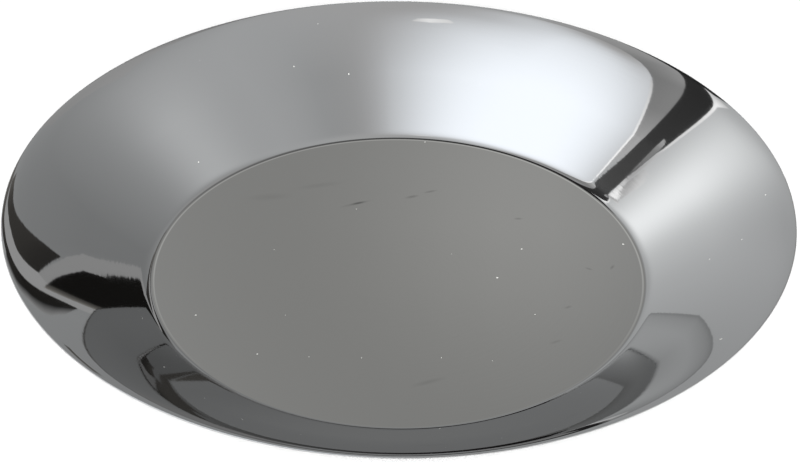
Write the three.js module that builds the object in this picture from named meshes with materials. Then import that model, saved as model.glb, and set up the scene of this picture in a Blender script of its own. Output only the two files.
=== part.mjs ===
// Candle plate: a round plate pressed from one stainless sheet, standing on three felt pads.
// Millimetres, +Z up. The origin is on the table, under the centre of the plate.
import * as THREE from 'three';

// Pressed sheet, measured on its upper face
const sheetThickness = 0.5;
const rimDiameter = 120; // over all, at the lower corner of the cut edge
const floorDiameter = 76; // where the lines of floor and wall would meet
const wallSlope = THREE.MathUtils.degToRad(31.1);
const creaseRadius = 2.4;

// The top of the wall flares outwards in three arcs, each tighter than the one before it, and ends at the rim
const shoulderRadius = 125;
const shoulderTurn = THREE.MathUtils.degToRad(4.1);
const flareRadius = 38;
const flareTurn = THREE.MathUtils.degToRad(3.5);
const lipRadius = 18;
const lipTurn = THREE.MathUtils.degToRad(5);

// Felt pads, stuck under the rim of the floor
const padCount = 3;
const padDiameter = 12;
const padThickness = 2.0;
const padInset = 2.5; // from the start of the crease to the edge of a pad
const adhesiveThickness = 0.2;
const adhesiveInset = 0.25; // the film stops short of the felt's edge

// Facets round the plate, round a pad, and along each arc of the section
const dishFacets = 72;
const padFacets = 32;
const creaseSteps = 5;
const shoulderSteps = 3;
const flareSteps = 2;
const lipSteps = 3;

// Slopes of the section where one arc hands over to the next
const shoulderEndSlope = wallSlope - shoulderTurn;
const flareEndSlope = shoulderEndSlope - flareTurn;
const lipEndSlope = flareEndSlope - lipTurn;

// Heights and radii that follow from the sizes above
const adhesiveBottom = padThickness;
const dishBottom = adhesiveBottom + adhesiveThickness;
const floorHeight = dishBottom + sheetThickness;
const rimRadius = rimDiameter / 2 - sheetThickness * Math.sin(lipEndSlope); // of the upper face
const flatRadius = floorDiameter / 2 - creaseRadius * Math.tan(wallSlope / 2);
const padCircleRadius = flatRadius - padInset - padDiameter / 2;

const polishedSteel = new THREE.MeshStandardMaterial({ color: 0xb8b9ba, roughness: 0.06, metalness: 1 });
const darkFelt = new THREE.MeshStandardMaterial({ color: 0x35332f, roughness: 0.95, metalness: 0 });
const clearAdhesive = new THREE.MeshStandardMaterial({ color: 0xd9d3c2, roughness: 0.4, metalness: 0 });

// How far an arc reaches outwards while it turns from one slope to another.
function arcReach(startSlope, endSlope, radius) {
  return radius * Math.abs(Math.sin(endSlope) - Math.sin(startSlope));
}

// Points of an arc that leaves a point along its slope and turns to another slope.
function arcPoints(start, endSlope, radius, steps) {
  const signedRadius = Math.sign(endSlope - start.slope) * radius;
  return Array.from({ length: steps }, (_, step) => {
    const slope = THREE.MathUtils.lerp(start.slope, endSlope, (step + 1) / steps);
    return {
      radius: start.radius + signedRadius * (Math.sin(slope) - Math.sin(start.slope)),
      height: start.height + signedRadius * (Math.cos(start.slope) - Math.cos(slope)),
      slope,
    };
  });
}

// Upper face of the sheet from the middle of the floor out to the rim, each point with its slope.
function upperFace() {
  const centre = { radius: 0, height: floorHeight, slope: 0 };
  const floorEdge = { radius: flatRadius, height: floorHeight, slope: 0 };
  const crease = arcPoints(floorEdge, wallSlope, creaseRadius, creaseSteps);
  const wallFoot = crease.at(-1);

  const topReach =
    arcReach(wallSlope, shoulderEndSlope, shoulderRadius) +
    arcReach(shoulderEndSlope, flareEndSlope, flareRadius) +
    arcReach(flareEndSlope, lipEndSlope, lipRadius);
  const straightRun = rimRadius - topReach - wallFoot.radius;
  const wallTop = {
    radius: wallFoot.radius + straightRun,
    height: wallFoot.height + straightRun * Math.tan(wallSlope),
    slope: wallSlope,
  };

  const shoulder = arcPoints(wallTop, shoulderEndSlope, shoulderRadius, shoulderSteps);
  const flare = arcPoints(shoulder.at(-1), flareEndSlope, flareRadius, flareSteps);
  const lip = arcPoints(flare.at(-1), lipEndSlope, lipRadius, lipSteps);
  return [centre, floorEdge, ...crease, wallTop, ...shoulder, ...flare, ...lip];
}

// The plate: the upper face and, one sheet thickness below it, the lower face, turned about the Z axis.
function makeDish() {
  const upper = upperFace();
  const lower = upper.map(({ radius, height, slope }) => new THREE.Vector2(
    radius + sheetThickness * Math.sin(slope),
    height - sheetThickness * Math.cos(slope),
  ));
  const section = upper.map(({ radius, height }) => new THREE.Vector2(radius, height));
  const outline = [...lower, ...section.reverse()];
  const geometry = new THREE.LatheGeometry(outline, dishFacets).rotateX(Math.PI / 2);
  const dish = new THREE.Mesh(geometry, polishedSteel);
  dish.name = 'dish';
  return dish;
}

// A flat round disc standing on the given height, with its axis along Z.
function makeDisc(name, diameter, thickness, bottom, material) {
  const geometry = new THREE.CylinderGeometry(diameter / 2, diameter / 2, thickness, padFacets);
  geometry.rotateX(Math.PI / 2).translate(0, 0, bottom + thickness / 2);
  const disc = new THREE.Mesh(geometry, material);
  disc.name = name;
  return disc;
}

// One foot: the felt pad on the table, and the film of adhesive between it and the plate.
function makeFoot(number) {
  const foot = new THREE.Group();
  foot.add(makeDisc(`felt_pad_${number}`, padDiameter, padThickness, 0, darkFelt));
  foot.add(makeDisc(
    `adhesive_disc_${number}`,
    padDiameter - 2 * adhesiveInset,
    adhesiveThickness,
    adhesiveBottom,
    clearAdhesive,
  ));
  const angle = Math.PI / 2 + (2 * Math.PI * (number - 1)) / padCount;
  foot.position.set(padCircleRadius * Math.cos(angle), padCircleRadius * Math.sin(angle), 0);
  return foot;
}

const candlePlate = new THREE.Group();
candlePlate.add(makeDish());
for (let number = 1; number <= padCount; number += 1) {
  candlePlate.add(makeFoot(number));
}

export default candlePlate;
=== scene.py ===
# Candle plate: a round plate pressed from one stainless sheet and polished to a mirror, on three felt pads.
# Metres, +Z up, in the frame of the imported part. The origin is on the table, under the centre of the plate.
import bpy
import numpy as np
from mathutils import Matrix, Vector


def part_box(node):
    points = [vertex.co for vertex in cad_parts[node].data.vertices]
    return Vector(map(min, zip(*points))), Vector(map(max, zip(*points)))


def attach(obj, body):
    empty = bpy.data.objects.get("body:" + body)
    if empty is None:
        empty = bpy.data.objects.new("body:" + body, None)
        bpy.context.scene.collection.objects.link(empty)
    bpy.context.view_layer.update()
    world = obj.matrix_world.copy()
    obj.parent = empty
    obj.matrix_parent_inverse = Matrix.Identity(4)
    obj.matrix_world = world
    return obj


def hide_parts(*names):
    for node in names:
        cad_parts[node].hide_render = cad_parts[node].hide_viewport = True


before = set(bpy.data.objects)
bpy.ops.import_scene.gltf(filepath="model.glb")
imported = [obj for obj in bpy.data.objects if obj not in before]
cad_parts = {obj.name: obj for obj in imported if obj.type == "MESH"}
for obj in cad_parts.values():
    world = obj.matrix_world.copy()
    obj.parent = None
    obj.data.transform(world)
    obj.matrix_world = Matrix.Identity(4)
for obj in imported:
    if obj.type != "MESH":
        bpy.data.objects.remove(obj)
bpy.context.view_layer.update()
scene = bpy.context.scene
mm = 0.001

# Camera
# A long lens 0.6 m from the plate, looking down at the middle of its floor and turned a little on its axis.
# It is fitted to the outline of the rim and to the crease in the photograph's frame of 800 by 462.
camera_distance = 600 * mm
camera_elevation = np.radians(35.83)
camera_roll = np.radians(0.64)
camera_lens = 176.67  # millimetres, as the sensor's width is
sensor_width = 36.0
aim_right = 0.17 * mm  # the lens points past the middle of the floor, which so lies low in the frame
aim_up = 6.86 * mm
sheet = 0.5 * mm  # the plate's thickness, from its underside up to the floor that the camera looks at

dish_low, dish_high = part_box("dish")
floor_height = dish_low.z + sheet
floor_middle = np.array([0, 0, floor_height])
backwards = np.array([0, -np.cos(camera_elevation), np.sin(camera_elevation)])
eye = floor_middle + camera_distance * backwards
sight_up = np.cross(backwards, (1, 0, 0))
sight = floor_middle + aim_right * np.array([1, 0, 0]) + aim_up * sight_up - eye
sight /= np.linalg.norm(sight)
level_right = np.cross(sight, (0, 0, 1))
level_right /= np.linalg.norm(level_right)
level_up = np.cross(level_right, sight)
turned_right = np.cos(camera_roll) * level_right + np.sin(camera_roll) * level_up
turned_up = np.cos(camera_roll) * level_up - np.sin(camera_roll) * level_right

lens = bpy.data.cameras.new("camera")
lens.lens = camera_lens
lens.sensor_width = sensor_width
camera = bpy.data.objects.new("camera", lens)
camera.matrix_world = Matrix(np.column_stack([turned_right, turned_up, -sight]).tolist()).to_4x4()
camera.location = eye
scene.collection.objects.link(camera)
scene.camera = camera
scene.view_settings.view_transform = "Standard"

# Dish
# One blank of 0.5 mm stainless sheet, pressed to a flat floor and a straight wall that flares out to the rim.
# Its cut edge is ground thin from the back, its upper face buffed to a mirror and its back left satin.
floor_radius = 38 * mm  # where the lines of floor and wall would meet
wall_slope = np.radians(31.1)
crease_width = 2.2 * mm
crease_power = 3.0  # the crease turns most where it leaves the floor
flare_start = 48 * mm  # from here to the rim the wall eases outwards
flare_reach = 12 * mm
shoulder_turn = np.radians(5.5)  # what it eases evenly
lip_turn = np.radians(11)  # and what it eases just below the rim
lip_power = 9
rim_slope = wall_slope - shoulder_turn - lip_turn
rim_thinning = 0.27 * mm  # what the grinding takes off the back at the rim
thinning_reach = 3 * mm
edge_radius = 0.09 * mm
floor_rings, crease_rings, wall_rings, flare_rings, edge_rings = 8, 25, 7, 36, 7
crease_crowding = 1.6  # powers that bring the rings closer towards the floor in the crease
rim_crowding = 1.5  # and towards the rim in the flare
dish_segments = 512
back_facing = -0.5  # below this height of its normal, a point lies on the satin back


def sheet_section(rim_radius):
    """Points (radius, height) and normals of the closed section of the sheet, from the axis out along the
    upper face, round the edge and back along the lower face, which lies one sheet thickness below, and evenly
    less over the reach of the thinning. The slope is the wall's times one less a power of what is left of the
    crease, less a turn in proportion to the share of the flare and one with a high power of it. The height is
    the sum of the steps of the radius times the tangent of the slope."""
    flat_end = floor_radius - crease_width / (crease_power + 1)
    rim_end = rim_radius - edge_radius * np.cos(rim_slope)
    into_crease = np.linspace(0, 1, crease_rings) ** crease_crowding
    to_rim = np.linspace(1, 0, flare_rings) ** rim_crowding
    reach = np.concatenate([
        np.linspace(0, flat_end, floor_rings),
        flat_end + crease_width * into_crease[1:],
        np.linspace(flat_end + crease_width, flare_start, wall_rings)[1:],
        rim_end - (rim_end - flare_start) * to_rim[1:],
    ])
    bend = np.clip((reach - flat_end) / crease_width, 0, 1)
    flare = np.clip((reach - flare_start) / flare_reach, 0, 1)
    pressed_slope = wall_slope * (1 - (1 - bend) ** crease_power)
    slope = pressed_slope - shoulder_turn * flare - lip_turn * flare ** lip_power
    mean_slope = (slope[1:] + slope[:-1]) / 2
    height = floor_height + np.append(0, np.cumsum(np.diff(reach) * np.tan(mean_slope)))
    upper = np.column_stack([reach, height])
    upper_normal = np.column_stack([-np.sin(slope), np.cos(slope)])
    thinning = np.clip(1 - (rim_end - reach) / thinning_reach, 0, 1)
    lower = upper - (sheet - rim_thinning * thinning)[:, None] * upper_normal
    uphill = np.column_stack([upper_normal[:, 1], -upper_normal[:, 0]])
    lower_normal = rim_thinning / thinning_reach * (thinning > 0)[:, None] * uphill - upper_normal
    lower_normal /= np.linalg.norm(lower_normal, axis=1, keepdims=True)

    end_normal = upper_normal[-1]
    outward = np.array([end_normal[1], -end_normal[0]])
    turn = np.linspace(0, np.pi / 2, edge_rings)[:, None]
    top_round = np.cos(turn) * end_normal + np.sin(turn) * outward
    low_round = np.cos(turn) * outward - np.sin(turn) * end_normal
    top_corner = upper[-1] - edge_radius * end_normal + edge_radius * top_round[1:]
    low_corner = lower[-1] + edge_radius * end_normal + edge_radius * low_round[:-1]
    points = np.concatenate([upper, top_corner, low_corner, lower[::-1]])
    normals = np.concatenate([upper_normal, top_round[1:], low_round[:-1], lower_normal[::-1]])
    return points, normals


def turned_piece(name, section, normals, centre, segments):
    """A section (radius, height) that starts and ends on the axis, turned about a vertical axis: each point
    goes round as x = r cos a, y = r sin a, and its normal with it. Both ends are single vertices."""
    angle = np.arange(segments) * 2 * np.pi / segments
    around = np.stack([np.cos(angle), np.sin(angle)], axis=-1)
    poles = section[[0, -1]]
    rings, ring_normals = section[1:-1], normals[1:-1]
    ring_points = np.concatenate([
        rings[:, None, :1] * around + centre,
        np.broadcast_to(rings[:, None, 1:], (len(rings), segments, 1)),
    ], axis=-1)
    ring_directions = np.concatenate([
        ring_normals[:, None, :1] * around,
        np.broadcast_to(ring_normals[:, None, 1:], (len(rings), segments, 1)),
    ], axis=-1)
    pole_points = np.column_stack([np.tile(centre, (2, 1)), poles[:, 1]])
    pole_directions = np.array([[0, 0, normals[0, 1]], [0, 0, normals[-1, 1]]])
    points = np.concatenate([ring_points.reshape(-1, 3), pole_points])
    directions = np.concatenate([ring_directions.reshape(-1, 3), pole_directions])

    index = np.arange(len(rings) * segments).reshape(len(rings), segments)
    after = np.roll(index, -1, axis=1)
    quads = np.stack([index[:-1], index[1:], after[1:], after[:-1]], axis=-1).reshape(-1, 4)
    first_pole, last_pole = len(points) - 2, len(points) - 1
    first_fan = np.column_stack([np.full(segments, first_pole), index[0], after[0]])
    last_fan = np.column_stack([np.full(segments, last_pole), after[-1], index[-1]])
    mesh = bpy.data.meshes.new(name)
    mesh.from_pydata(points.tolist(), [], quads.tolist() + first_fan.tolist() + last_fan.tolist())
    mesh.shade_smooth()
    mesh.normals_split_custom_set_from_vertices(directions.tolist())
    piece = bpy.data.objects.new(name, mesh)
    scene.collection.objects.link(piece)
    return piece


def linear(hex_colour):
    """Linear RGBA of an sRGB hex colour, by the sRGB curve."""
    srgb = np.array([int(hex_colour[i:i + 2], 16) for i in (1, 3, 5)]) / 255
    return (*np.where(srgb <= 0.04045, srgb / 12.92, ((srgb + 0.055) / 1.055) ** 2.4), 1.0)


def add_node(tree, kind, inputs=None, **settings):
    """Adds a node. Settings are its properties, and an input takes a value or the socket that feeds it."""
    node = tree.nodes.new(kind)
    for name, value in settings.items():
        setattr(node, name, value)
    for name, value in (inputs or {}).items():
        if isinstance(value, bpy.types.NodeSocket):
            tree.links.new(value, node.inputs[name])
        else:
            node.inputs[name].default_value = value
    return node


def polished_stainless():
    """Stainless steel, mirror-polished on a buffing wheel, with a satin back. It mirrors the studio at a
    little over half its brightness, and faint circles left by the wheel fray the edges of the reflections.
    A dark line of painted shade lies in the crease, outside a bright line of painted highlight, dust lies on
    the plate and a few wipe marks dim the floor."""
    steel_colour = "#C4C4C4"
    grazing_colour = "#E3E3E3"
    polish, satin = 0.03, 0.27
    ripple_width = 0.45 * mm  # of the wheel's circles, coarser than real so that they show
    ripple_height = 0.0009 * mm
    ripple_turn = 5.0  # how often the circles change along one radian of the turn
    # Painted highlight: a bright line along the crease, mixed into the steel's colour, that fades towards the
    # front.
    crease_highlight_colour = "#F4F4F4"
    crease_highlight_radius, crease_highlight_width = 37.34 * mm, 0.18 * mm
    crease_highlight_front, crease_highlight_back = -25 * mm, 5 * mm  # the bright line fades out from the back to the front
    # Painted shade: a dark line in the crease, mixed into the steel's colour.
    crease_shade_colour = "#101010"
    crease_shade_radius, crease_shade_width = 37.75 * mm, 0.2 * mm
    crease_shade_cover = 0.26  # how much of the steel it hides
    dust_colour = "#DADAD6"
    dust_spacing = 9.5 * mm
    dust_radius = 0.24 * mm  # the largest speck, a little larger than real so that it shows
    dust_bare = 0.6  # share of the places that stay free of dust
    wipe_marks = (  # in mm x and y of the middle, length and width, then degrees of turn and how much darker
        (-6.8, 19.2, 7.0, 0.9, 22, 0.2),
        (-6.4, 19.4, 3.2, 0.8, 20, 0.4),
        (2.0, 21.3, 3.0, 1.0, 20, 0.28),
        (4.9, 22.8, 3.0, 0.8, 20, 0.25),
        (-20.5, 20.8, 9.0, 2.6, 8, 0.08),
        (-12.5, 24.2, 10.0, 1.8, 14, 0.08),
        (18.6, 15.6, 1.8, 0.8, 0, 0.25),
        (4.6, -26.6, 7.5, 1.4, 24, 0.12),
        (23.6, -16.4, 3.0, 0.9, 28, 0.14),
        (25.7, -7.6, 1.8, 0.8, 30, 0.2),
        (29.2, 2.4, 1.8, 0.7, -30, 0.2),
        (32.8, 2.9, 1.8, 0.7, 65, 0.25),
    )

    material = bpy.data.materials.new("polished_stainless_steel")
    material.use_nodes = True
    tree = material.node_tree
    tree.nodes.clear()
    place = add_node(tree, "ShaderNodeTexCoord").outputs["Object"]
    flat = add_node(tree, "ShaderNodeVectorMath", {0: place, 1: (1, 1, 0)}, operation="MULTIPLY").outputs[0]
    radius = add_node(tree, "ShaderNodeVectorMath", {0: flat}, operation="LENGTH").outputs["Value"]
    bearing = add_node(tree, "ShaderNodeVectorMath", {0: flat}, operation="NORMALIZE").outputs[0]
    rings = add_node(tree, "ShaderNodeMath", {
        0: radius, 1: 1 / ripple_width,
    }, operation="MULTIPLY").outputs[0]
    along = add_node(tree, "ShaderNodeVectorMath", {
        0: bearing, "Scale": ripple_turn,
    }, operation="SCALE").outputs[0]
    out = add_node(tree, "ShaderNodeCombineXYZ", {"Z": rings}).outputs[0]
    circles = add_node(tree, "ShaderNodeVectorMath", {0: along, 1: out}, operation="ADD").outputs[0]
    ripple = add_node(tree, "ShaderNodeTexNoise", {
        "Vector": circles, "Scale": 1.0, "Detail": 1.0,
    }).outputs["Fac"]
    bump = add_node(tree, "ShaderNodeBump", {"Height": ripple, "Distance": ripple_height}).outputs["Normal"]

    def ring_line(middle, width, strength):
        """A line round the plate that falls off from its middle to nothing at its width."""
        offset = add_node(tree, "ShaderNodeMath", {0: radius, 1: middle}, operation="SUBTRACT").outputs[0]
        away = add_node(tree, "ShaderNodeMath", {0: offset}, operation="ABSOLUTE").outputs[0]
        return add_node(tree, "ShaderNodeMapRange", {
            "Value": away, "From Min": width, "From Max": 0.0, "To Max": strength,
        }).outputs["Result"]

    depth = add_node(tree, "ShaderNodeSeparateXYZ", {0: flat}).outputs["Y"]
    towards_back = add_node(tree, "ShaderNodeMapRange", {
        "Value": depth, "From Min": crease_highlight_front, "From Max": crease_highlight_back,
    }).outputs["Result"]
    # The painted highlight along the crease.
    crease_highlight = add_node(tree, "ShaderNodeMath", {
        0: ring_line(crease_highlight_radius, crease_highlight_width, 1.0), 1: towards_back,
    }, operation="MULTIPLY").outputs[0]
    # The painted shade in the crease, with the wipe marks added to it.
    crease_shade_and_wipe_marks = ring_line(crease_shade_radius, crease_shade_width, crease_shade_cover)
    for x, y, length, width, turn, strength in wipe_marks:
        mark = add_node(tree, "ShaderNodeMapping", {
            "Vector": flat,
            "Location": (x * mm, y * mm, 0),
            "Rotation": (0, 0, np.radians(turn)),
            "Scale": (length / 2 * mm, width / 2 * mm, 1),
        }, vector_type="TEXTURE").outputs[0]
        away = add_node(tree, "ShaderNodeVectorMath", {0: mark}, operation="LENGTH").outputs["Value"]
        film = add_node(tree, "ShaderNodeMapRange", {
            "Value": away, "From Min": 1.0, "From Max": 0.0, "To Max": strength,
        }, interpolation_type="SMOOTHSTEP").outputs["Result"]
        crease_shade_and_wipe_marks = add_node(tree, "ShaderNodeMath", {0: crease_shade_and_wipe_marks, 1: film}, operation="ADD").outputs[0]
    bright = add_node(tree, "ShaderNodeMix", {
        0: crease_highlight, 6: linear(steel_colour), 7: linear(crease_highlight_colour),
    }, data_type="RGBA").outputs[2]
    steel = add_node(tree, "ShaderNodeMix", {
        0: crease_shade_and_wipe_marks, 6: bright, 7: linear(crease_shade_colour),
    }, data_type="RGBA").outputs[2]

    specks = add_node(tree, "ShaderNodeTexVoronoi", {
        "Vector": flat, "Scale": 1 / dust_spacing,
    }, voronoi_dimensions="2D")
    size = add_node(tree, "ShaderNodeMapRange", {
        "Value": specks.outputs["Color"], "From Min": dust_bare, "To Max": dust_radius / dust_spacing,
    }).outputs["Result"]
    dust = add_node(tree, "ShaderNodeMath", {
        0: specks.outputs["Distance"], 1: size,
    }, operation="LESS_THAN").outputs[0]
    bare = add_node(tree, "ShaderNodeMath", {0: 1.0, 1: dust}, operation="SUBTRACT").outputs[0]
    colour = add_node(tree, "ShaderNodeMix", {
        0: dust, 6: steel, 7: linear(dust_colour),
    }, data_type="RGBA").outputs[2]
    back = add_node(tree, "ShaderNodeAttribute", attribute_name="satin").outputs["Fac"]
    finish = add_node(tree, "ShaderNodeMapRange", {
        "Value": back, "To Min": polish, "To Max": satin,
    }).outputs["Result"]
    roughness = add_node(tree, "ShaderNodeMath", {0: finish, 1: dust}, operation="MAXIMUM").outputs[0]
    shader = add_node(tree, "ShaderNodeBsdfPrincipled", {
        "Base Color": colour,
        "Metallic": bare,
        "Roughness": roughness,
        "Specular Tint": linear(grazing_colour),
        "Normal": bump,
    })
    add_node(tree, "ShaderNodeOutputMaterial", {"Surface": shader.outputs["BSDF"]})
    return material


dish_section, dish_normals = sheet_section(dish_high.x - sheet * np.sin(rim_slope))
dish = turned_piece("polished_dish", dish_section, dish_normals, (0, 0), dish_segments)
on_back = (dish_normals[:, 1] < back_facing).astype(np.float32)
satin_back = dish.data.attributes.new("satin", "FLOAT", "POINT")
satin_back.data.foreach_set("value", np.append(np.repeat(on_back[1:-1], dish_segments), on_back[[0, -1]]))
dish.data.materials.append(polished_stainless())
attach(dish, "root")
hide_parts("dish")

# Adhesive discs
# A round of double-sided acrylic film for each pad, die-cut a little smaller than the felt. Its upper face
# sticks to the underside of the floor and its lower face to the pad.
film_corner = 0.03 * mm
film_corner_rings = 4
disc_segments = 96


def round_disc(name, box, corner, corner_rings):
    """A disc with rounded corners that fills the box of a CAD node. Its section goes from the axis out along
    the top, down the side and back along the bottom, with a quarter circle at each corner."""
    low, high = box
    middle = ((low.x + high.x) / 2, (low.y + high.y) / 2)
    radius = (high.y - low.y) / 2
    turn = np.linspace(0, np.pi / 2, corner_rings)[:, None]
    top_round = np.concatenate([np.sin(turn), np.cos(turn)], axis=1)
    low_round = np.concatenate([np.cos(turn), -np.sin(turn)], axis=1)
    top_corner = np.array([radius - corner, high.z - corner]) + corner * top_round
    low_corner = np.array([radius - corner, low.z + corner]) + corner * low_round
    section = np.concatenate([[(0, high.z)], top_corner, low_corner, [(0, low.z)]])
    normals = np.concatenate([[(0, 1)], top_round, low_round, [(0, -1)]])
    return turned_piece(name, section, normals, middle, disc_segments)


def acrylic_film():
    """Clear acrylic adhesive film, yellowed a little, and cloudy in patches where it has wetted the steel."""
    film_colour, cloudy_colour = "#CFC8B4", "#E2DDCE"
    patch_width = 1.5 * mm
    material = bpy.data.materials.new("acrylic_adhesive_film")
    material.use_nodes = True
    tree = material.node_tree
    tree.nodes.clear()
    place = add_node(tree, "ShaderNodeTexCoord").outputs["Object"]
    patch = add_node(tree, "ShaderNodeTexNoise", {"Vector": place, "Scale": 1 / patch_width}).outputs["Fac"]
    colour = add_node(tree, "ShaderNodeMix", {
        0: patch, 6: linear(film_colour), 7: linear(cloudy_colour),
    }, data_type="RGBA")
    shader = add_node(tree, "ShaderNodeBsdfPrincipled", {
        "Base Color": colour.outputs[2],
        "Roughness": 0.35,
        "IOR": 1.47,
    })
    add_node(tree, "ShaderNodeOutputMaterial", {"Surface": shader.outputs["BSDF"]})
    return material


film = acrylic_film()
for number in (1, 2, 3):
    film_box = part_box(f"adhesive_disc_{number}")
    disc = round_disc(f"adhesive_film_{number}", film_box, film_corner, film_corner_rings)
    disc.data.materials.append(film)
    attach(disc, "root")
    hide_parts(f"adhesive_disc_{number}")

# Felt pads
# Rounds die-cut from pressed wool felt, which keep the metal off the table. They are stuck on under the edge
# of the floor, a third of a turn apart.
pad_corner = 0.5 * mm
pad_corner_rings = 8


def wool_felt():
    """Pressed wool felt, dyed dark grey: matted fibres with paler ones among them, soft and dull."""
    felt_colour, pale_fibre_colour = "#262422", "#55514C"
    fibre_width = 0.25 * mm  # ten times a wool fibre, so that the felt shows some grain from a step away
    fibre_height = 0.12 * mm
    material = bpy.data.materials.new("pressed_wool_felt")
    material.use_nodes = True
    tree = material.node_tree
    tree.nodes.clear()
    place = add_node(tree, "ShaderNodeTexCoord").outputs["Object"]
    fibre = add_node(tree, "ShaderNodeTexNoise", {
        "Vector": place, "Scale": 1 / fibre_width, "Detail": 4.0, "Distortion": 1.2,
    }).outputs["Fac"]
    colour = add_node(tree, "ShaderNodeMix", {
        0: fibre, 6: linear(felt_colour), 7: linear(pale_fibre_colour),
    }, data_type="RGBA")
    bump = add_node(tree, "ShaderNodeBump", {"Height": fibre, "Distance": fibre_height})
    shader = add_node(tree, "ShaderNodeBsdfPrincipled", {
        "Base Color": colour.outputs[2],
        "Roughness": 0.95,
        "Sheen Weight": 0.4,
        "Normal": bump.outputs["Normal"],
    })
    add_node(tree, "ShaderNodeOutputMaterial", {"Surface": shader.outputs["BSDF"]})
    return material


felt = wool_felt()
for number in (1, 2, 3):
    pad_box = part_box(f"felt_pad_{number}")
    pad = round_disc(f"felt_foot_{number}", pad_box, pad_corner, pad_corner_rings)
    pad.data.materials.append(felt)
    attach(pad, "root")
    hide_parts(f"felt_pad_{number}")

# Studio
# A white floor under an even white sky gives the plain ground and its soft shadow. The steel mirrors a grey
# studio instead: a dome of soft light, a large softbox above and to the left, and a few dark stands.
dome_radius = 5.0
dome_foot = -4  # degrees, a little below the horizon
ceiling = 2.0
ceiling_glow = 0.59
back_wall = 2.0


def sheet_mesh(name, points):
    """A grid of points as a mesh of quads, one for each four neighbouring points."""
    rows, columns = points.shape[:2]
    index = np.arange(rows * columns).reshape(rows, columns)
    quads = np.stack([index[:-1, :-1], index[1:, :-1], index[1:, 1:], index[:-1, 1:]], axis=-1)
    mesh = bpy.data.meshes.new(name)
    mesh.from_pydata(points.reshape(-1, 3).tolist(), [], quads.reshape(-1, 4).tolist())
    thing = bpy.data.objects.new(name, mesh)
    scene.collection.objects.link(thing)
    return thing


def studio_light():
    """Plain light: what a surface sends out is its glow attribute."""
    material = bpy.data.materials.new("studio_light")
    material.use_nodes = True
    tree = material.node_tree
    tree.nodes.clear()
    glow = add_node(tree, "ShaderNodeAttribute", attribute_name="glow").outputs["Color"]
    light = add_node(tree, "ShaderNodeEmission", {"Color": glow, "Strength": 1.0}).outputs[0]
    add_node(tree, "ShaderNodeOutputMaterial", {"Surface": light})
    return material


light_material = studio_light()


def reflected_sheet(name, points, glow):
    """A sheet that only the steel's reflections see, sending out the given light at each of its points."""
    thing = sheet_mesh(name, points)
    attribute = thing.data.attributes.new("glow", "FLOAT_COLOR", "POINT")
    colour = np.ones((*points.shape[:2], 4))
    colour[..., :3] = glow
    attribute.data.foreach_set("color", colour.astype(np.float32).ravel())
    thing.data.materials.append(light_material)
    thing.visible_camera = False
    thing.visible_diffuse = False
    thing.visible_shadow = False


def direction(azimuth, elevation):
    """Unit vector of a bearing, 0 at the back and positive to the right, and a height, both in degrees."""
    azimuth, elevation = np.radians(azimuth), np.radians(elevation)
    return np.stack(np.broadcast_arrays(
        np.sin(azimuth) * np.cos(elevation), np.cos(azimuth) * np.cos(elevation), np.sin(elevation)), axis=-1)


def dome_light(azimuth, elevation):
    """Light of the dome: walls that change with the bearing and pass into an even ceiling higher up, and
    soft patches that fall off as a bell with the angle from their middle. It is cool, warmer at the back."""
    walls = (  # bearing and brightness
        (-180, 0.22), (-150, 0.35), (-125, 1.0), (-100, 1.0), (-70, 0.85), (-45, 0.755), (-25, 0.665),
        (-15, 0.575), (-5, 0.5), (5, 0.385), (14, 0.40), (18, 0.38), (25, 0.31), (35, 0.27), (60, 0.37),
        (90, 0.44), (115, 0.8), (135, 0.8), (155, 0.3), (180, 0.22),
    )
    into_ceiling = ((19, 0), (31, 0.16), (43, 0.38), (55, 0.62), (67, 1))  # height and share of the ceiling
    patches = (  # bearing, height, width, and how much lighter
        (-45, 34, 8.8, 0.755),
        (-40, 43, 6, 0.165),
        (-35, 22, 8, 0.12),
        (-30, 38.5, 5, 0.12),
        (-25, 26, 7, -0.075),
        (-15, 43, 10, 0.12),
        (65, 50, 10, 0.235),
        (-1.3, 37.1, 10.1, -0.178),
        (2.7, 34.6, 2.8, 0.192),
        (118, 79, 9, -0.12),
        (12, 30.5, 4, 0.15),
    )
    warm_patch = (0, 36, 9)
    cool, warm = np.array([0.98, 1.0, 1.01]), np.array([1.0, 1.0, 0.965])

    def bell(patch_azimuth, patch_elevation, width):
        """Falls off from 1 with the square of the angle from the patch's middle, as a share of its width."""
        beside = direction(azimuth, elevation) @ direction(patch_azimuth, patch_elevation)
        away = np.degrees(np.arccos(np.clip(beside, -1, 1)))
        return np.exp(-(away / width) ** 2)

    wall_glow = np.interp(azimuth, *np.transpose(walls))
    glow = wall_glow + (ceiling_glow - wall_glow) * np.interp(elevation, *np.transpose(into_ceiling))
    for patch_azimuth, patch_elevation, width, strength in patches:
        glow = glow + strength * bell(patch_azimuth, patch_elevation, width)
    return glow[..., None] * (cool + (warm - cool) * bell(*warm_patch)[..., None])


azimuths, elevations = np.meshgrid(np.arange(-180, 181), np.arange(dome_foot, 91), indexing="ij")
dome = dome_radius * direction(azimuths, elevations)
reflected_sheet("studio_dome", dome, dome_light(azimuths, elevations))


def ruled(first_edge, second_edge, steps):
    """Grid of points between two edges with as many points, on straight lines from one edge to the other."""
    share = np.linspace(0, 1, steps)[:, None, None]
    return first_edge + share * (second_edge - first_edge)


def card(name, first_edge, second_edge, glow, tint=(1, 1, 1), second_glow=None):
    """A sheet between two edges, with one brightness all over or one for each pair of the edges' points. With
    a second brightness it changes evenly from the first edge to the second."""
    both = np.stack(np.broadcast_arrays(np.atleast_1d(glow), glow if second_glow is None else second_glow))
    reflected_sheet(name, ruled(first_edge, second_edge, 2), both[..., None] * np.array(tint))


def on_ceiling(points, nearer=0):
    """Points (x, y) of the ceiling plane, drawn a share nearer to the plate, so that cards cover others."""
    return np.array([(x, y, ceiling) for x, y in points]) * (1 - nearer)


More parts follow.
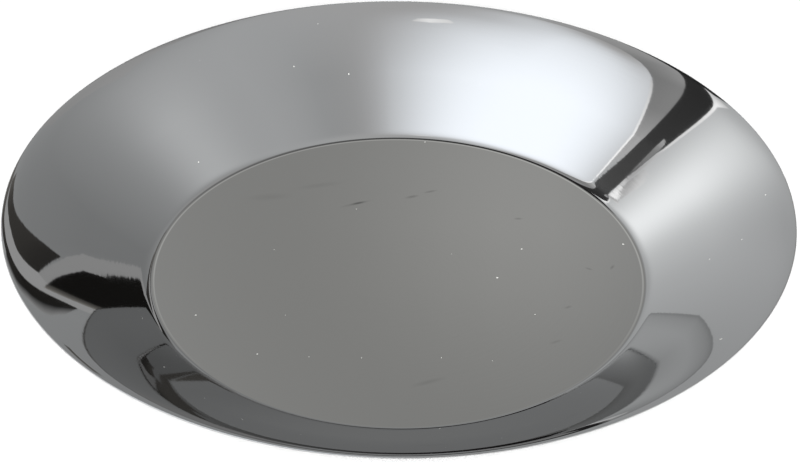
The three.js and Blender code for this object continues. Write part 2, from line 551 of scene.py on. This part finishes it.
def on_back_wall(points, nearer=0):
    """Points (x, z) of the back wall plane, drawn a share nearer to the plate."""
    return np.array([(x, back_wall, z) for x, z in points]) * (1 - nearer)


softbox_left, softbox_right = -2.6, 0.7
softbox_front, softbox_edge = -2.6, 0.875
softbox_columns, softbox_rows = 67, 70  # a point every 5 cm or so


def softbox_light(points):
    """Light of the softbox: a cloth that is a little brighter to the left, and the lamp behind it, whose
    oval is even in its core and falls off as a smooth step to its edge, dimmed in one corner. Two patches
    along the back edge fall off as a bell. The right end passes into the dome, so that it doesn't show."""
    cloth_gain = 0.032  # for each metre to the left
    lamp_x, lamp_y = -1.263, -0.827
    lamp_width, lamp_depth = 1.695, 2.105
    lamp_core = 0.536
    lamp_glow = 1.165
    lamp_colour = np.array([0.925, 0.996, 1.085])
    corner_x, corner_y = -0.6, 0.15  # where the dim corner starts
    corner_width, corner_depth = 0.3, 0.25  # and over which it gets dim
    corner_dim = 0.5
    edge_patches = (  # x and y of the middle, width, depth, and how much lighter
        (-0.36, 0.72, 0.16, 0.26, 0.26),
        (-0.7, 0.82, 0.22, 0.13, -0.3),
    )
    end_start, end_width = 0.05, 0.45

    x, y = points[..., 0], points[..., 1]
    from_lamp = np.hypot((x - lamp_x) / lamp_width, (y - lamp_y) / lamp_depth)
    fade = np.clip((from_lamp - lamp_core) / (1 - lamp_core), 0, 1)
    lamp = lamp_glow * (1 - fade ** 2 * (3 - 2 * fade))
    corner = np.clip((x - corner_x) / corner_width, 0, 1) * np.clip((y - corner_y) / corner_depth, 0, 1)
    lamp = lamp * (1 - corner_dim * corner)
    for patch_x, patch_y, width, depth, strength in edge_patches:
        lamp = lamp + strength * np.exp(-((x - patch_x) / width) ** 2 - ((y - patch_y) / depth) ** 2)
    glow = (ceiling_glow - cloth_gain * x)[..., None] + lamp[..., None] * lamp_colour
    azimuth = np.degrees(np.arctan2(x, y))
    elevation = np.degrees(np.arctan2(ceiling, np.hypot(x, y)))
    into_dome = np.clip((x - end_start) / end_width, 0, 1)[..., None]
    return glow + into_dome * (dome_light(azimuth, elevation) - glow)


softbox_x = np.linspace(softbox_left, softbox_right, softbox_columns)
softbox = ruled(
    on_ceiling([(x, softbox_front) for x in softbox_x]),
    on_ceiling([(x, softbox_edge) for x in softbox_x]),
    softbox_rows)
reflected_sheet("overhead_softbox", softbox, softbox_light(softbox))

# How much nearer to the plate than the ceiling each layer of cards is drawn, as a share.
band_layer, glint_layer, bar_layer, bar_edge_layer, clamp_layer = 0.003, 0.005, 0.01, 0.012, 0.015
bright_edge_ends = (-1.46, -1.0)
bright_edge_start = softbox_edge - 0.02
card(
    "softbox_bright_edge",
    on_ceiling([(x, bright_edge_start) for x in bright_edge_ends], glint_layer),
    on_ceiling([(x, softbox_edge) for x in bright_edge_ends], glint_layer),
    (1.7, 0.9))

bar_front = [
    (-1.485, 0.872), (-1.481, 0.957), (-1.444, 0.986), (-1.274, 1.056), (-1.031, 1.14), (-0.885, 1.209),
    (-0.62, 1.36)]
bar_back = [
    (-1.645, 1.135), (-1.613, 1.2), (-1.58, 1.249), (-1.351, 1.345), (-1.196, 1.397), (-1.059, 1.435),
    (-0.736, 1.516)]
card(
    "black_bar",
    on_ceiling(bar_front, bar_layer),
    on_ceiling(bar_back, bar_layer),
    (0.11, 0.09, 0.066, 0.052, 0.044, 0.042, 0.045))
gap_front = [bar_front[-1], (-0.4, 1.28), (-0.1, 1.08), (0.15, 1.05), (0.6, 1.05), (0.95, 1.1)]
gap_back = [bar_back[-1], (-0.45, 2.1), (-0.1, 2.25), (0.2, 2.2), (0.65, 2.1), (1.0, 1.9)]
card(
    "dark_gap",
    on_ceiling(gap_front, bar_layer),
    on_ceiling(gap_back, bar_layer),
    (0.03, 0.03, 0.05, 0.22, 0.5, 0.495), second_glow=(0.03, 0.03, 0.05, 0.22, 0.44, 0.41))
white_edge_front = [
    (-0.66, 1.53), (-1.059, 1.435), (-1.351, 1.345), (-1.58, 1.249), (-1.613, 1.225), (-1.613, 1.17),
    (-1.645, 1.18), (-1.7, 1.28)]
white_edge_back = [
    (-0.78, 1.7), (-1.022, 1.486), (-1.341, 1.383), (-1.564, 1.291), (-1.632, 1.25), (-1.645, 1.225),
    (-1.675, 1.265), (-1.735, 1.37)]
card(
    "bar_white_edge",
    on_ceiling(white_edge_front, bar_edge_layer),
    on_ceiling(white_edge_back, bar_edge_layer),
    (0.85, 1.6, 1.35, 1.2, 0.7, 0.65, 1.6, 1.7))
card(
    "bar_end_light",
    on_ceiling([(-1.505, 0.89), (-1.565, 0.985), (-1.6, 1.05)], bar_edge_layer),
    on_ceiling([(-1.57, 0.89), (-1.605, 0.97), (-1.625, 1.04)], bar_edge_layer),
    1.5)
card(
    "bar_clamp",
    on_ceiling([(-1.48, 1.178), (-1.555, 1.15), (-1.6, 1.16)], clamp_layer),
    on_ceiling([(-1.517, 1.229), (-1.579, 1.228), (-1.608, 1.2)], clamp_layer),
    (0.7, 0.4, 0.3))
card(
    "bar_shadow",
    on_ceiling([(-1.645, 1.228), (-1.68, 1.27), (-1.74, 1.375)]),
    on_ceiling([(-1.645, 1.28), (-1.68, 1.34), (-1.74, 1.45)]),
    (0.45, 0.5, 0.7), second_glow=(0.9, 1.0, 1.2))
card(
    "grey_band",
    on_ceiling([(x, softbox_edge) for x in (-1.44, -1.4, -1.2, -0.95, -0.8, -0.6, -0.3)], band_layer),
    on_ceiling(bar_front[1:] + [(-0.3, 1.44)], band_layer),
    (0.7, 0.56, 0.35, 0.31, 0.33, 0.45, 0.55), second_glow=(0.74, 0.6, 0.39, 0.38, 0.46, 0.5, 0.55))
card(
    "ceiling_glint",
    on_ceiling([(-0.04, 0.2), (-0.11, 0.195), (-0.2, 0.225)], glint_layer),
    on_ceiling([(-0.06, 0.235), (-0.1, 0.245), (-0.17, 0.26)], glint_layer),
    (0.95, 1.35, 1.15))

stand_tint = (1.05, 1, 0.93)
strip_layer, upright_layer = -0.005, -0.01  # these two are behind the plane of the stands
post_left = [
    (0.655, 0.524), (0.664, 0.654), (0.674, 0.79), (0.7, 0.967), (0.692, 1.135), (0.66, 1.28),
    (0.65, 1.48)]
post_right = [
    (0.857, 0.64), (0.867, 0.752), (0.868, 0.833), (0.864, 0.956), (0.815, 1.205), (0.796, 1.33),
    (0.74, 1.53)]
card(
    "black_post",
    on_back_wall(post_left),
    on_back_wall(post_right),
    (0.03, 0.04, 0.05, 0.055, 0.06, 0.08, 0.16), stand_tint)
block_top = [
    (0.617, 0.432), (0.684, 0.462), (0.736, 0.479), (0.821, 0.502), (0.885, 0.525), (0.929, 0.57),
    (1.03, 0.66), (1.3, 0.9)]
card("black_block", on_back_wall([(x, 0) for x, z in block_top]), on_back_wall(block_top), 0.01, stand_tint)
shade_top = [(0.582, 0.42), (0.60, 0.427), (0.63, 0.438)]
card(
    "block_shade",
    on_back_wall([(x, 0) for x, z in shade_top]),
    on_back_wall(shade_top),
    (0.26, 0.12, 0.015), stand_tint)
strip_top = [
    (0.65, 0.52), (0.69, 0.54), (0.727, 0.556), (0.816, 0.601), (0.885, 0.641), (0.961, 0.671), (1.03, 0.71),
    (1.3, 0.95)]
card("light_strip", on_back_wall(block_top, strip_layer), on_back_wall(strip_top, strip_layer), 0.4)
card(
    "light_upright",
    on_back_wall([(0.535, 0), (0.65, 0)], upright_layer),
    on_back_wall([(0.56, 1.4), (0.74, 1.4)], upright_layer),
    0.47)
wedge_outer = np.array([
    (0.535, 0.216), (0.5, 0.278), (0.49, 0.346), (0.487, 0.473), (0.485, 0.578), (0.45, 0.78),
    (0.465, 1.0), (0.47, 1.2), (0.43, 1.36), (0.4, 1.55), (0.42, 1.75)])
wedge_inner = np.array([
    (0.54, 0.217), (0.547, 0.278), (0.551, 0.346), (0.555, 0.477), (0.553, 0.618), (0.552, 0.77),
    (0.553, 1.0), (0.56, 1.2), (0.61, 1.36), (0.65, 1.5), (0.575, 1.75)])
wedge_glow = (0.03, 0.02, 0.02, 0.02, 0.02, 0.03, 0.04, 0.08, 0.15, 0.18, 0.18)
card("black_wedge", on_back_wall(wedge_outer), on_back_wall(wedge_inner), wedge_glow, stand_tint)
soft_points = 7  # the wedge's outer edge is soft up to here
soft_edge = wedge_outer[:soft_points]
soft_width = 0.065
card(
    "wedge_shade",
    on_back_wall(soft_edge - (soft_width, 0)),
    on_back_wall(soft_edge),
    0.38, second_glow=wedge_glow[:soft_points])
card(
    "low_stand",
    on_back_wall([(0.2, 0.3), (0.29, 0.3)]),
    on_back_wall([(0.2, 0.4), (0.29, 0.38)]),
    0.12, stand_tint)

floor_size = 10.0
floor_paint = "#F4F4F4"
floor_edge = floor_size / 2
floor_left = np.array([(-floor_edge, floor_edge, 0), (-floor_edge, -floor_edge, 0)])
ground = sheet_mesh("floor", ruled(floor_left, floor_left * (-1, 1, 1), 2))
paint = bpy.data.materials.new("matt_white_floor")
paint.use_nodes = True
paint_shader = paint.node_tree.nodes["Principled BSDF"]
paint_shader.inputs["Base Color"].default_value = linear(floor_paint)
paint_shader.inputs["Roughness"].default_value = 0.9
ground.data.materials.append(paint)

sky = bpy.data.worlds.new("white_sky")
sky.use_nodes = True
sky.node_tree.nodes["Background"].inputs["Color"].default_value = (1, 1, 1, 1)
sky.node_tree.nodes["Background"].inputs["Strength"].default_value = 0.2
scene.world = sky

fill = bpy.data.lights.new("soft_fill", "SUN")
fill.energy = 5.3
fill.angle = np.radians(15)
fill_light = bpy.data.objects.new("soft_fill", fill)
fill_light.rotation_euler = (np.radians(90) - camera_elevation, 0, 0)  # it shines along the camera's view
fill_light.visible_glossy = False
scene.collection.objects.link(fill_light)
